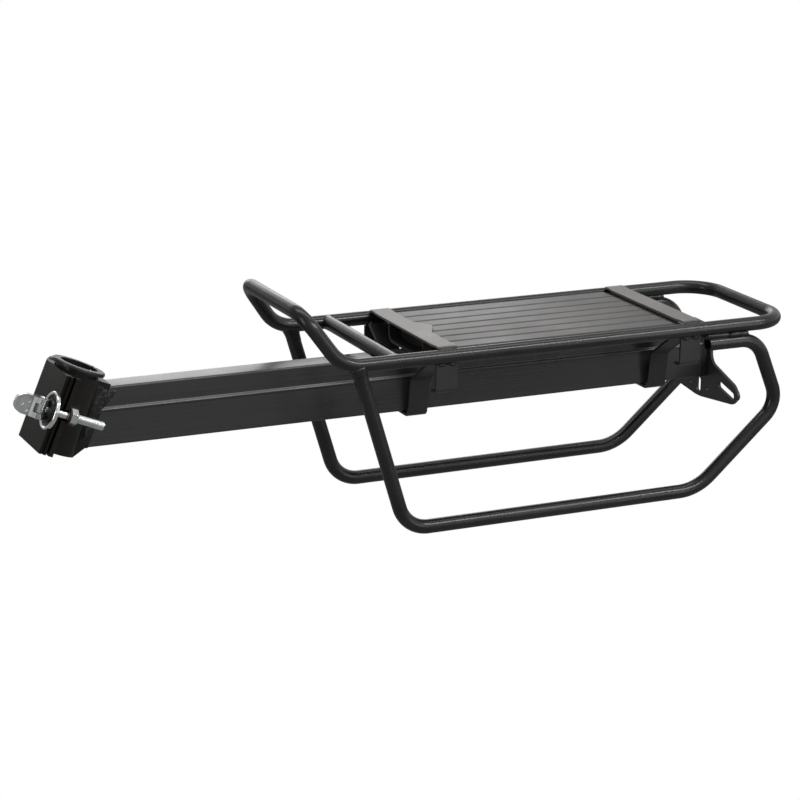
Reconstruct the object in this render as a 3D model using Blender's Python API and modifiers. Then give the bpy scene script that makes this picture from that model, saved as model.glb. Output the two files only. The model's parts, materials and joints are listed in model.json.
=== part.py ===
"""Bicycle rear rack that hangs from a seat post by a quick release clamp.

+X points to the rear of the bicycle, +Z up, and the left side of the bicycle is -Y.
The origin is on the clamp's top face, in the middle of the wall behind the seat post.
Sizes below are in millimetres and are turned into metres when a mesh is made. They are
counted from a work point on the axis of the seat post bore at the beam's mid height,
and the empty named rack_frame shifts them all to the origin.
"""

import bpy
import bmesh
import math
from mathutils import Vector

MM = 0.001
GAP = 0.3                      # clearance kept between neighbouring pieces

# Seat post clamp, in a frame tilted with the post: u rearward, v to the right, w along the bore.
TILT = math.radians(22.3)
CLAMP_TOP = 32.5
CLAMP_BOTTOM = -21.5
CLAMP_HEIGHT = CLAMP_TOP - CLAMP_BOTTOM
CLAMP_MID = 0.5 * (CLAMP_TOP + CLAMP_BOTTOM)
BODY_BORE_R = 15.0
BODY_OUTER_R = 18.5
PAD_U = 21.0                   # flat face the beam is welded to
PAD_HALF = 12.3
JAW_FRONT_U = -18.0
JAW_BORE_R = 15.5
JAW_BACK_U = -12.9             # rear face of the jaw's ear
EAR_FRONT_U = -11.1            # body ear, across the clamping gap
EAR_BACK_U = -7.9
EAR_TIP_V = -32.3
HINGE_U = -9.0
HINGE_V = 21.5
KNUCKLE_R = 4.5
KNUCKLE_CUT_R = 5.1
HINGE_PIN_R = 2.5

REFERENCE_U = 18.0             # the origin, on the top face behind the bore

# Split shim between clamp and post.
SHIM_R = 14.2
SHIM_BORE_R = 12.8
SHIM_FLANGE_R = 18.3
SHIM_NECK = 2.1                # neck showing between clamp and flange
SHIM_FLANGE = 2.8
SHIM_SLIT = 1.6
SHIM_SLIT_ANGLE = 30.0

# Quick release.
QR_V = -30.0
QR_W = 7.2
ROD_R = 3.0
ROD_END_U = 18.2
CAM_U = -27.0
CAM_OFFSET = 1.1
CAM_R = 5.7
CAM_PIN_R = 2.0
EYE_R = 4.0
EYE_HEIGHT = 5.6
FORK_GAP = 6.3
LEVER_WIDTH = 13.4
LEVER_TIP_U = -45.2
DISH_R = 13.0
DISH_BORE_R = 3.6              # loose on the rod, as it tilts with the jaw
NUT_ACROSS_FLATS = 10.0

# Beam: a stepped hollow extrusion, wide below and narrower above a small ledge.
BEAM_HALF_LOW = 11.8
BEAM_HALF_UP = 9.3
BEAM_BOTTOM = -19.9
BEAM_LEDGE = 5.6
BEAM_TOP = 19.9
BEAM_WALL = 1.8
BEAM_END = 486.2

# Lamp bracket behind the beam.
BRACKET_X = 493.2
BRACKET_T = 2.2

# Carrier of round bar.
BAR_R = 5.0
RAIL_Z = 30.5
RAIL_Y = 58.5
LOOP_Y = 59.5
TUBE_BORE_R = 3.4
FRAME_REAR_X = 528.2
HOOP_FOOT_X = 177.5
HOOP_TOP_X = 151.8
HOOP_TOP_Z = 66.4
HOOP_TOP_Y = 52.2
CROSS_TUBE_X = 216.7

# Cross plates over the rails, deck plate between them.
CROSS_T = 1.8
CROSS_MID_TOP = 36.6
CROSS_END_TOP = 37.1
CROSS_HALF = 56.0
CROSS_WIDTH = 14.7
CROSS_FRONT_X = 256.4          # centre of the front plate
CROSS_REAR_X = 448.7
TONGUE_TIP_X = 271.6
TONGUE_HALF = 16.0
DECK_X0 = 261.5
DECK_X1 = 443.5
DECK_HALF = 51.0
DECK_TOP = 34.4
DECK_BOTTOM = 31.2
DECK_RIBS = 7
GROOVE_WIDTH = 3.2
GROOVE_DEPTH = 1.2
DECK_STEP = 0.8                # lowered ends, tucked under the cross plates
DECK_FRONT_STEP = 2.6
DECK_REAR_STEP = 6.3
DECK_LIP_X = 263.2              # lip folded down behind the front saddle
DECK_LIP_T = 1.6
DECK_LIP_HALF = 40.0
DECK_LIP_BOTTOM = 20.7

# Sheet parts that wrap the beam and hang from the rails.
SHEET = 2.0
SADDLE_WIDTH = 9.5
SADDLE_HALF = 28.0
YOKE_WIDTH = 15.0
YOKE_BOTTOM = -23.5            # outer face of the web under the beam
YOKE_LEG_BOTTOM_Y = 15.2
YOKE_LEG_TOP_Y = 19.0
YOKE_LEG_TOP_Z = 4.5
YOKE_FLARE_Y = 52.3
YOKE_FLARE_Z = 27.4
TAB_Y = 59.0
TAB_TOP = 25.0
TAB_BOTTOM = 5.0
TAB_LIP = 7.0
TAB_WIDTH = 16.3
FRONT_YOKE_X = 253.7
REAR_YOKE_X = 445.7
FRONT_TAB_X = 254.4
REAR_TAB_X = 446.3


# ---------------------------------------------------------------- scene and materials

for old in list(bpy.data.objects):
    bpy.data.objects.remove(old, do_unlink=True)

PARTS = bpy.data.collections.new("rear_rack")
CUTTERS = bpy.data.collections.new("rear_rack_cutters")
bpy.context.scene.collection.children.link(PARTS)
bpy.context.scene.collection.children.link(CUTTERS)


def material(name, colour, roughness, metallic=0.0):
    """A Principled BSDF of one colour."""
    mat = bpy.data.materials.new(name)
    mat.use_nodes = True
    shader = mat.node_tree.nodes["Principled BSDF"]
    shader.inputs["Base Color"].default_value = (*colour, 1.0)
    shader.inputs["Roughness"].default_value = roughness
    shader.inputs["Metallic"].default_value = metallic
    return mat


# ---------------------------------------------------------------- points and outlines

def arc(centre, radius, start, end, count):
    """Points on an arc, angles in degrees, both ends included."""
    points = []
    for i in range(count + 1):
        angle = math.radians(start + (end - start) * i / count)
        points.append((centre[0] + radius * math.cos(angle), centre[1] + radius * math.sin(angle)))
    return points


def circle(centre, radius, count):
    """Points around a full circle."""
    return arc(centre, radius, 0.0, 360.0, count)[:-1]


def fillet(corners, closed, step=11.0):
    """Turn (point, radius) corners into a point list whose corners are arcs."""
    points = []
    last = len(corners) - 1
    for i, (corner, radius) in enumerate(corners):
        here = Vector(corner)
        if radius == 0.0 or (not closed and i in (0, last)):
            points.append(here)
            continue
        back = (Vector(corners[i - 1][0]) - here).normalized()
        ahead = (Vector(corners[(i + 1) % len(corners)][0]) - here).normalized()
        opening = back.angle(ahead)
        reach = radius / math.tan(opening / 2.0)
        centre = here + (back + ahead).normalized() * (radius / math.sin(opening / 2.0))
        first = (here + back * reach - centre) / radius
        second = (here + ahead * reach - centre) / radius
        turn = math.pi - opening
        side = (second - first * first.dot(second)).normalized()
        count = max(2, round(math.degrees(turn) / step))
        for k in range(count + 1):
            angle = turn * k / count
            points.append(centre + radius * (math.cos(angle) * first + math.sin(angle) * side))
    return points


def strip(path, thickness):
    """Outline of a sheet of even thickness whose middle follows a 2D path."""
    left = []
    right = []
    for i, point in enumerate(path):
        before = path[max(i - 1, 0)]
        after = path[min(i + 1, len(path) - 1)]
        into = (point - before) if i > 0 else (after - point)
        out = (after - point) if i < len(path) - 1 else into
        normal_in = Vector((-into.y, into.x)).normalized()
        normal_out = Vector((-out.y, out.x)).normalized()
        normal = (normal_in + normal_out).normalized()
        width = 0.5 * thickness / max(normal.dot(normal_in), 0.5)
        left.append(point + normal * width)
        right.append(point - normal * width)
    return left + right[::-1]


# ---------------------------------------------------------------- meshes

def to_mesh(curve, name):
    """Evaluate a curve as a mesh with its caps welded on."""
    guide = bpy.data.objects.new(name + "_curve", curve)
    bpy.context.scene.collection.objects.link(guide)
    graph = bpy.context.evaluated_depsgraph_get()
    mesh = bpy.data.meshes.new_from_object(guide.evaluated_get(graph))
    mesh.name = name
    bpy.data.objects.remove(guide, do_unlink=True)
    bm = bmesh.new()
    bm.from_mesh(mesh)
    bmesh.ops.remove_doubles(bm, verts=bm.verts, dist=0.000002)
    bmesh.ops.recalc_face_normals(bm, faces=bm.faces)
    bm.to_mesh(mesh)
    bm.free()
    return mesh


def prism_mesh(name, outlines, depth):
    """Flat outline (with holes as further outlines) in local XY, thickness centred on Z."""
    curve = bpy.data.curves.new(name, "CURVE")
    curve.dimensions = "2D"
    curve.fill_mode = "BOTH"
    curve.extrude = 0.5 * depth * MM
    for outline in outlines:
        spline = curve.splines.new("POLY")
        spline.points.add(len(outline) - 1)
        for i, point in enumerate(outline):
            spline.points[i].co = (point[0] * MM, point[1] * MM, 0.0, 1.0)
        spline.use_cyclic_u = True
    return to_mesh(curve, name)


def tube_mesh(name, path, radius, closed):
    """Round bar along a 3D path."""
    curve = bpy.data.curves.new(name, "CURVE")
    curve.dimensions = "3D"
    curve.bevel_depth = radius * MM
    curve.bevel_resolution = 4
    curve.use_fill_caps = not closed
    spline = curve.splines.new("POLY")
    spline.points.add(len(path) - 1)
    for i, point in enumerate(path):
        spline.points[i].co = (point[0] * MM, point[1] * MM, point[2] * MM, 1.0)
    spline.use_cyclic_u = closed
    return to_mesh(curve, name)


def cylinder_mesh(name, radius, length, sides=32):
    """Cylinder centred on the origin along local Z."""
    mesh = bpy.data.meshes.new(name)
    bm = bmesh.new()
    bmesh.ops.create_cone(bm, cap_ends=True, segments=sides, radius1=radius * MM,
                          radius2=radius * MM, depth=length * MM)
    bm.to_mesh(mesh)
    bm.free()
    return mesh


def box_mesh(name, size):
    """Box centred on the origin."""
    mesh = bpy.data.meshes.new(name)
    bm = bmesh.new()
    bmesh.ops.create_cube(bm, size=1.0)
    bmesh.ops.scale(bm, vec=(size[0] * MM, size[1] * MM, size[2] * MM), verts=bm.verts)
    bm.to_mesh(mesh)
    bm.free()
    return mesh


def turned(name, profile, steps, mat, closed=False):
    """Solid of revolution about local Z; the profile runs down its outer side."""
    mesh = bpy.data.meshes.new(name)
    bm = bmesh.new()
    verts = [bm.verts.new((r * MM, 0.0, z * MM)) for r, z in profile]
    for first, second in zip(verts, verts[1:]):
        bm.edges.new((first, second))
    if closed:
        bm.edges.new((verts[-1], verts[0]))
    bm.to_mesh(mesh)
    bm.free()
    obj = place(name, mesh, mat)
    screw = obj.modifiers.new("turn", "SCREW")
    screw.axis = "Z"
    screw.angle = 2.0 * math.pi
    screw.steps = steps
    screw.render_steps = steps
    screw.use_merge_vertices = True
    screw.merge_threshold = 0.000005
    screw.use_smooth_shade = True
    return obj


# ---------------------------------------------------------------- objects

def place(name, mesh, mat, location=(0.0, 0.0, 0.0), rotation=(0.0, 0.0, 0.0), parent=None):
    """Put a mesh in the rack's collection."""
    obj = bpy.data.objects.new(name, mesh)
    obj.location = [value * MM for value in location]
    obj.rotation_euler = rotation
    obj.parent = parent or rack_frame
    if not mesh.materials:
        mesh.materials.append(mat)
    PARTS.objects.link(obj)
    return obj


def cutter(name, mesh, location=(0.0, 0.0, 0.0), rotation=(0.0, 0.0, 0.0), parent=None):
    """Put a tool shape in the cutters' collection, hidden from renders."""
    obj = bpy.data.objects.new(name, mesh)
    obj.location = [value * MM for value in location]
    obj.rotation_euler = rotation
    obj.parent = parent or rack_frame
    obj.hide_render = True
    obj.display_type = "WIRE"
    CUTTERS.objects.link(obj)
    return obj


def cut(obj, tool, operation="DIFFERENCE"):
    """Exact Boolean with one tool."""
    mod = obj.modifiers.new(tool.name, "BOOLEAN")
    mod.object = tool
    mod.operation = operation
    mod.solver = "EXACT"


def soften(obj, width, segments=1, angle=35.0):
    """Small bevel on the sharp edges."""
    mod = obj.modifiers.new("edges", "BEVEL")
    mod.width = width * MM
    mod.segments = segments
    mod.limit_method = "ANGLE"
    mod.angle_limit = math.radians(angle)


def smooth(obj, angle=30.0):
    """Smooth shading with sharp edges kept."""
    obj.data.shade_smooth()
    obj.data.set_sharp_from_angle(angle=math.radians(angle))


def empty(name, location, rotation=(0.0, 0.0, 0.0), parent=None):
    """Axis or frame that objects hang from."""
    obj = bpy.data.objects.new(name, None)
    obj.location = [value * MM for value in location]
    obj.rotation_euler = rotation
    obj.parent = parent
    PARTS.objects.link(obj)
    return obj


ALONG_X = (math.radians(90.0), 0.0, math.radians(90.0))   # local x to +Y, y to +Z, z to +X
ALONG_Y = (math.radians(90.0), 0.0, 0.0)                  # local x to +X, y to +Z, z to -Y
TURN_X = (0.0, math.radians(90.0), 0.0)                   # local z to +X

black_paint = material("satin_black_paint", (0.030, 0.030, 0.032), 0.42)
black_alloy = material("black_anodised_alloy", (0.035, 0.035, 0.038), 0.40, 0.6)
black_sheet = material("black_sheet_steel", (0.034, 0.034, 0.036), 0.38)
deck_black = material("deck_black", (0.040, 0.039, 0.040), 0.45, 0.3)
clamp_black = material("clamp_black", (0.028, 0.027, 0.026), 0.45, 0.4)
black_plastic = material("black_plastic", (0.015, 0.015, 0.016), 0.55)
polished_steel = material("polished_steel", (0.75, 0.77, 0.78), 0.18, 1.0)
zinc_steel = material("zinc_steel", (0.60, 0.62, 0.64), 0.30, 1.0)
red_fibre = material("red_brown_fibre", (0.10, 0.022, 0.016), 0.60)

reference_x = REFERENCE_U * math.cos(TILT) + CLAMP_TOP * math.sin(TILT)
reference_z = CLAMP_TOP * math.cos(TILT) - REFERENCE_U * math.sin(TILT)
rack_frame = empty("rack_frame", (-reference_x, 0.0, -reference_z))
clamp_frame = empty("clamp_frame", (0.0, 0.0, 0.0), (0.0, TILT, 0.0), rack_frame)


# ---------------------------------------------------------------- clamp

hinge_pin_tool = cutter("hinge_pin_tool", cylinder_mesh("hinge_pin_tool", HINGE_PIN_R + 0.3, 80.0, 20),
                        (HINGE_U, HINGE_V, CLAMP_MID), parent=clamp_frame)
slot_tool = cutter("skewer_slot_tool", box_mesh("skewer_slot_tool", (16.0, 12.0, 7.4)),
                   (-12.5, QR_V - 6.0 + 3.7, QR_W), parent=clamp_frame)

ring_foot = math.degrees(math.asin(PAD_HALF / BODY_OUTER_R))
ear_meet = math.degrees(math.acos(EAR_BACK_U / BODY_OUTER_R))
bore_meet = math.degrees(math.acos(EAR_FRONT_U / BODY_BORE_R))
body_outline = [(EAR_BACK_U, EAR_TIP_V)]
body_outline += arc((0.0, 0.0), BODY_OUTER_R, -ear_meet, -ring_foot, 9)
body_outline += [(PAD_U, -PAD_HALF), (PAD_U, PAD_HALF)]
body_outline += arc((0.0, 0.0), BODY_OUTER_R, ring_foot, 92.0, 7)
body_outline += arc((HINGE_U, HINGE_V), KNUCKLE_R, 70.0, 290.0, 12)
body_outline += arc((0.0, 0.0), BODY_BORE_R, 107.0, -bore_meet, 28)
body_outline += [(EAR_FRONT_U, EAR_TIP_V)]
clamp_body = place("clamp_body", prism_mesh("clamp_body", [body_outline], CLAMP_HEIGHT), clamp_black,
                   (0.0, 0.0, CLAMP_MID), parent=clamp_frame)

rise = (PAD_U - 13.5) / 10.5
heel = [(13.5 - rise, CLAMP_BOTTOM - 1.0), (PAD_U + 1.5, CLAMP_BOTTOM + 10.5 + 1.5 / rise),
        (PAD_U + 1.5, CLAMP_BOTTOM - 1.0)]
heel_tool = cutter("heel_tool", prism_mesh("heel_tool", [heel], 60.0), rotation=ALONG_Y, parent=clamp_frame)
knuckle_gap = cutter("knuckle_gap", cylinder_mesh("knuckle_gap", KNUCKLE_CUT_R, CLAMP_HEIGHT / 3.0 + 2 * GAP, 28),
                     (HINGE_U, HINGE_V, CLAMP_MID), parent=clamp_frame)
for tool in (heel_tool, knuckle_gap, hinge_pin_tool, slot_tool):
    cut(clamp_body, tool)
smooth(clamp_body)

jaw_meet = math.degrees(math.acos(JAW_BACK_U / JAW_BORE_R))
jaw_outline = [(JAW_FRONT_U, EAR_TIP_V), (JAW_BACK_U, EAR_TIP_V)]
jaw_outline += arc((0.0, 0.0), JAW_BORE_R, 360.0 - jaw_meet, 121.0, 11)
jaw_outline += arc((HINGE_U, HINGE_V), KNUCKLE_R, 235.0, 510.0, 14)
jaw_outline += [(JAW_FRONT_U, 12.3)]
jaw_axis = empty("jaw_axis", (HINGE_U, HINGE_V, CLAMP_MID), parent=clamp_frame)
jaw_local = [(u - HINGE_U, v - HINGE_V) for u, v in jaw_outline]
clamp_jaw = place("clamp_jaw", prism_mesh("clamp_jaw", [jaw_local], CLAMP_HEIGHT), clamp_black,
                  parent=jaw_axis)
groove_tool = cutter("jaw_groove_tool", box_mesh("jaw_groove_tool", (1.5, 3.0, 70.0)),
                     (-15.6, EAR_TIP_V, CLAMP_MID), parent=clamp_frame)
end_length = CLAMP_HEIGHT / 3.0
for side in (-1, 1):
    middle = CLAMP_MID + side * (CLAMP_HEIGHT / 3.0 + 2.0)
    tool = cutter("knuckle_end_%d" % side, cylinder_mesh("knuckle_end", KNUCKLE_CUT_R, end_length + 4.0 + 2 * GAP, 28),
                  (HINGE_U, HINGE_V, middle), parent=clamp_frame)
    cut(clamp_jaw, tool)
for tool in (groove_tool, hinge_pin_tool, slot_tool):
    cut(clamp_jaw, tool)
smooth(clamp_jaw)

pin_half = CLAMP_HEIGHT / 2.0
clamp_hinge_pin = turned("clamp_hinge_pin", [
    (0.0, pin_half + 2.0), (3.2, pin_half + 2.0), (3.9, pin_half + 1.3), (3.9, pin_half + GAP),
    (HINGE_PIN_R, pin_half + GAP), (HINGE_PIN_R, -pin_half - GAP), (3.9, -pin_half - GAP),
    (3.9, -pin_half - 1.3), (3.2, -pin_half - 2.0), (0.0, -pin_half - 2.0)], 20, zinc_steel)
clamp_hinge_pin.location = (HINGE_U * MM, HINGE_V * MM, CLAMP_MID * MM)
clamp_hinge_pin.parent = clamp_frame

neck_top = CLAMP_TOP + SHIM_NECK
flange_top = neck_top + SHIM_FLANGE
seatpost_shim = turned("seatpost_shim", [
    (SHIM_BORE_R, flange_top), (SHIM_FLANGE_R - 0.8, flange_top), (SHIM_FLANGE_R, flange_top - 0.8),
    (SHIM_FLANGE_R, neck_top + 0.4), (SHIM_FLANGE_R - 0.4, neck_top), (SHIM_R, neck_top),
    (SHIM_R, CLAMP_BOTTOM), (SHIM_BORE_R, CLAMP_BOTTOM)], 48, black_plastic, closed=True)
seatpost_shim.parent = clamp_frame
slit_tool = cutter("shim_slit_tool", box_mesh("shim_slit_tool", (12.0, SHIM_SLIT, 120.0)),
                   (16.0 * math.cos(math.radians(SHIM_SLIT_ANGLE)), 16.0 * math.sin(math.radians(SHIM_SLIT_ANGLE)), 0.0),
                   (0.0, 0.0, math.radians(SHIM_SLIT_ANGLE)), parent=clamp_frame)
cut(seatpost_shim, slit_tool)


# ---------------------------------------------------------------- quick release

qr_frame = empty("qr_frame", (0.0, QR_V, QR_W), parent=clamp_frame)

rod_start = CAM_U + EYE_R - 1.2
skewer_rod = cutter("skewer_rod", cylinder_mesh("skewer_rod", ROD_R, ROD_END_U - rod_start, 24),
                    (0.5 * (ROD_END_U + rod_start), 0.0, 0.0), TURN_X, qr_frame)
qr_skewer = place("qr_skewer", cylinder_mesh("qr_skewer", EYE_R, EYE_HEIGHT, 28), zinc_steel,
                  (CAM_U, 0.0, 0.0), parent=qr_frame)
cut(qr_skewer, skewer_rod, "UNION")
eye_tool = cutter("skewer_eye_tool", cylinder_mesh("skewer_eye_tool", CAM_PIN_R + 0.3, 20.0, 20),
                  (CAM_U, 0.0, 0.0), parent=qr_frame)
cut(qr_skewer, eye_tool)
smooth(qr_skewer)

lever_axis = empty("lever_axis", (CAM_U, 0.0, 0.0), parent=qr_frame)
lever_tip = LEVER_TIP_U - CAM_U
half_width = 0.5 * LEVER_WIDTH
lever_side = fillet([((lever_tip, -1.6), 1.0), ((lever_tip, 2.0), 1.6), ((-8.0, 2.6), 14.0)], False)[1:]
lever_side += [Vector(p) for p in arc((-CAM_OFFSET, 0.0), CAM_R, 128.0, -128.0, 22)]
lever_side += [Vector((-8.0, -2.8)), Vector((lever_tip + 1.2, -1.9)), Vector((lever_tip, -0.9))]
qr_lever = place("qr_lever", prism_mesh("qr_lever", [lever_side, circle((0.0, 0.0), CAM_PIN_R + 0.3, 20)],
                                        LEVER_WIDTH), polished_steel, parent=lever_axis)
fork_tool = cutter("lever_fork_tool", box_mesh("lever_fork_tool", (12.0, 20.0, FORK_GAP)),
                   (0.4, 0.0, 0.0), parent=lever_axis)
cut(qr_lever, fork_tool)
tip_arc = arc((lever_tip + half_width, 0.0), half_width, 90.0, 270.0, 12)
tip_plan = [(lever_tip + half_width, half_width + 1.0)] + tip_arc
tip_plan += [(lever_tip + half_width, -half_width - 1.0), (lever_tip - 2.0, -half_width - 1.0),
             (lever_tip - 2.0, half_width + 1.0)]
tip_tool = cutter("lever_tip_tool", prism_mesh("lever_tip_tool", [tip_plan], 30.0), rotation=ALONG_Y,
                  parent=lever_axis)
cut(qr_lever, tip_tool)
for index, (du, dw) in enumerate(((lever_tip + 4.4, 0.0), (-9.6, 3.1), (-9.6, -3.1))):
    dimple = cutter("lever_dimple_%d" % index, cylinder_mesh("lever_dimple", 1.5, 4.0, 14),
                    (du, -3.6, dw), ALONG_Y, lever_axis)
    cut(qr_lever, dimple)
soften(qr_lever, 0.45, 1)
smooth(qr_lever)

cam_half = half_width
qr_cam_pin = turned("qr_cam_pin", [(0.0, cam_half + 1.0), (CAM_PIN_R - 0.6, cam_half + 1.0), (CAM_PIN_R, cam_half + 0.5),
                                   (CAM_PIN_R, -cam_half - 0.5), (CAM_PIN_R - 0.6, -cam_half - 1.0),
                                   (0.0, -cam_half - 1.0)], 20, zinc_steel)
qr_cam_pin.location = (CAM_U * MM, 0.0, 0.0)
qr_cam_pin.parent = qr_frame

dish_front = CAM_U - CAM_OFFSET + CAM_R + GAP
dish_back = JAW_FRONT_U - GAP
qr_dished_washer = turned("qr_dished_washer", [
    (DISH_BORE_R, dish_back), (DISH_R - 0.6, dish_back), (DISH_R, dish_back - 0.6),
    (DISH_R, dish_back - 2.4), (DISH_R - 0.5, dish_back - 2.9), (DISH_R - 1.4, dish_back - 2.9),
    (DISH_R - 3.0, dish_back - 1.5), (8.2, dish_back - 1.5), (7.4, dish_front), (DISH_BORE_R, dish_front)],
    40, polished_steel, closed=True)
qr_dished_washer.rotation_euler = TURN_X
qr_dished_washer.parent = qr_frame

nut_washer_front = EAR_BACK_U + GAP
qr_nut_washer = turned("qr_nut_washer", [
    (ROD_R + 0.35, nut_washer_front + 1.1), (6.0, nut_washer_front + 1.1), (6.0, nut_washer_front),
    (ROD_R + 0.35, nut_washer_front)], 28, red_fibre, closed=True)
qr_nut_washer.rotation_euler = TURN_X
qr_nut_washer.parent = qr_frame

nut_front = nut_washer_front + 1.1 + GAP
nut_length = 4.8
corner_r = 0.5 * NUT_ACROSS_FLATS / math.cos(math.radians(30.0))
nut_outline = arc((0.0, 0.0), corner_r, 30.0, 330.0, 5)
nut_axis = empty("nut_axis", (nut_front + 0.5 * nut_length, 0.0, 0.0), parent=qr_frame)
qr_nut = place("qr_nut", prism_mesh("qr_nut", [nut_outline, circle((0.0, 0.0), ROD_R + 0.35, 24)], nut_length),
               zinc_steel, rotation=ALONG_X, parent=nut_axis)
soften(qr_nut, 0.35, 1, 50.0)
smooth(qr_nut)


# ---------------------------------------------------------------- beam and its rear end

beam_corners = [((-BEAM_HALF_LOW, BEAM_BOTTOM), 1.5), ((BEAM_HALF_LOW, BEAM_BOTTOM), 1.5),
                ((BEAM_HALF_LOW, BEAM_LEDGE), 1.0), ((BEAM_HALF_UP, BEAM_LEDGE), 0.6),
                ((BEAM_HALF_UP, BEAM_TOP), 1.5), ((-BEAM_HALF_UP, BEAM_TOP), 1.5),
                ((-BEAM_HALF_UP, BEAM_LEDGE), 0.6), ((-BEAM_HALF_LOW, BEAM_LEDGE), 1.0)]
inner_low = BEAM_HALF_LOW - BEAM_WALL
inner_up = BEAM_HALF_UP - BEAM_WALL
inner_corners = [(-inner_low, BEAM_BOTTOM + BEAM_WALL), (inner_low, BEAM_BOTTOM + BEAM_WALL),
                 (inner_low, BEAM_LEDGE - BEAM_WALL), (inner_up, BEAM_LEDGE - BEAM_WALL),
                 (inner_up, BEAM_TOP - BEAM_WALL), (-inner_up, BEAM_TOP - BEAM_WALL),
                 (-inner_up, BEAM_LEDGE - BEAM_WALL), (-inner_low, BEAM_LEDGE - BEAM_WALL)]
beam_outline = fillet(beam_corners, True, 30.0)
beam = place("beam", prism_mesh("beam", [beam_outline, inner_corners], BEAM_END), black_alloy,
             (0.5 * BEAM_END, 0.0, 0.0), ALONG_X)
front_tool = cutter("beam_front_tool", box_mesh("beam_front_tool", (80.0, 60.0, 120.0)),
                    (PAD_U + GAP - 40.0, 0.0, 0.0), parent=clamp_frame)
cut(beam, front_tool)
smooth(beam)

plug_start = BEAM_END + GAP
plug_end = BRACKET_X - 0.5 * BRACKET_T - GAP
plug_flange = place("beam_end_plug", prism_mesh("beam_end_plug", [beam_outline], plug_end - plug_start),
                    black_plastic, (0.5 * (plug_start + plug_end), 0.0, 0.0), ALONG_X)
inset = GAP + 0.1
spigot = [(y - math.copysign(inset, y), z - math.copysign(inset, z - 0.5 * (BEAM_LEDGE + BEAM_BOTTOM)))
          for y, z in inner_corners]
spigot_tool = cutter("plug_spigot", prism_mesh("plug_spigot", [spigot], 14.0),
                     (BEAM_END - 5.0, 0.0, 0.0), ALONG_X)
cut(plug_flange, spigot_tool, "UNION")
SCREW_Z = -4.5
screw_hole = cutter("bracket_screw_hole", cylinder_mesh("bracket_screw_hole", 2.8, 60.0, 20),
                    (BEAM_END + 20.0, 0.0, SCREW_Z), TURN_X)
cut(plug_flange, screw_hole)

half_plate = [((14.0, 2.5), 2.0), ((15.5, -8.0), 8.0), ((47.5, -17.8), 7.0), ((55.5, -25.0), 3.5),
              ((47.0, -32.6), 5.0), ((4.0, -37.6), 4.0)]
mirror_plate = [((-y, z), radius) for (y, z), radius in half_plate[::-1]]
plate_outline = fillet(half_plate + mirror_plate, True, 15.0)


def slot(start, end, radius):
    """Outline of a round ended slot between two centres."""
    first = Vector(start)
    second = Vector(end)
    heading = math.degrees(math.atan2(second.y - first.y, second.x - first.x))
    return arc(first, radius, heading + 90.0, heading + 270.0, 8) + arc(second, radius, heading - 90.0, heading + 90.0, 8)


bracket_cuts = [slot((0.0, -32.0), (0.0, -26.0), 2.8), circle((0.0, SCREW_Z), 2.8, 20),
                circle((11.5, -30.0), 1.6, 14), circle((-11.5, -30.0), 1.6, 14)]
for side in (-1.0, 1.0):
    bracket_cuts.append(slot((side * 29.5, -22.2), (side * 46.0, -26.2), 2.6))
lamp_bracket = place("lamp_bracket", prism_mesh("lamp_bracket", [plate_outline] + bracket_cuts, BRACKET_T),
                     black_sheet, (BRACKET_X, 0.0, 0.0), ALONG_X)

head = BRACKET_X + 0.5 * BRACKET_T + GAP
lamp_bracket_screw = turned("lamp_bracket_screw", [
    (0.0, head + 2.4), (2.6, head + 2.2), (4.2, head + 1.2), (4.7, head), (2.4, head),
    (2.4, BEAM_END - 6.0), (1.6, BEAM_END - 7.0), (0.0, BEAM_END - 7.0)], 24, zinc_steel)
lamp_bracket_screw.location = (0.0, 0.0, SCREW_Z * MM)
lamp_bracket_screw.rotation_euler = TURN_X


# ---------------------------------------------------------------- round bar carrier

top_corners = [((FRAME_REAR_X, -RAIL_Y, RAIL_Z), 26.0), ((FRAME_REAR_X, RAIL_Y, RAIL_Z), 26.0),
               ((HOOP_FOOT_X, RAIL_Y, RAIL_Z), 26.0), ((HOOP_TOP_X, HOOP_TOP_Y, HOOP_TOP_Z), 17.0),
               ((HOOP_TOP_X, -HOOP_TOP_Y, HOOP_TOP_Z), 17.0), ((HOOP_FOOT_X, -RAIL_Y, RAIL_Z), 26.0)]
top_frame = place("top_frame", tube_mesh("top_frame", fillet(top_corners, True), BAR_R, True), black_paint)
smooth(top_frame, 40.0)

loop_corners = [((190.2, 23.7), 0.0), ((225.6, -89.0), 23.0), ((457.1, -88.9), 38.0),
                ((522.5, -30.5), 19.5), ((501.9, 19.2), 20.0), ((460.7, 19.2), 0.0)]
loop_path = fillet([((x, 0.0, z), radius) for (x, z), radius in loop_corners], False)
for side, label in ((-1.0, "left"), (1.0, "right")):
    name = "side_loop_" + label
    loop = place(name, tube_mesh(name, loop_path, BAR_R, False), black_paint, (0.0, side * LOOP_Y, 0.0))
    bore = cutter(name + "_bore", cylinder_mesh(name + "_bore", TUBE_BORE_R, 24.0, 20),
                  (460.7, side * LOOP_Y, 19.2), TURN_X)
    cut(loop, bore)
    smooth(loop, 40.0)

cross_tube = place("front_cross_tube", cylinder_mesh("front_cross_tube", BAR_R, 2.0 * RAIL_Y, 24), black_paint,
                   (CROSS_TUBE_X, 0.0, RAIL_Z), ALONG_Y)
for side in (-1.0, 1.0):
    cope = cutter("cope_%d" % side, cylinder_mesh("cope", BAR_R + GAP, 40.0, 32),
                  (CROSS_TUBE_X, side * RAIL_Y, RAIL_Z), TURN_X)
    cut(cross_tube, cope)
smooth(cross_tube, 40.0)


# ---------------------------------------------------------------- sheet parts and deck

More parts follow.
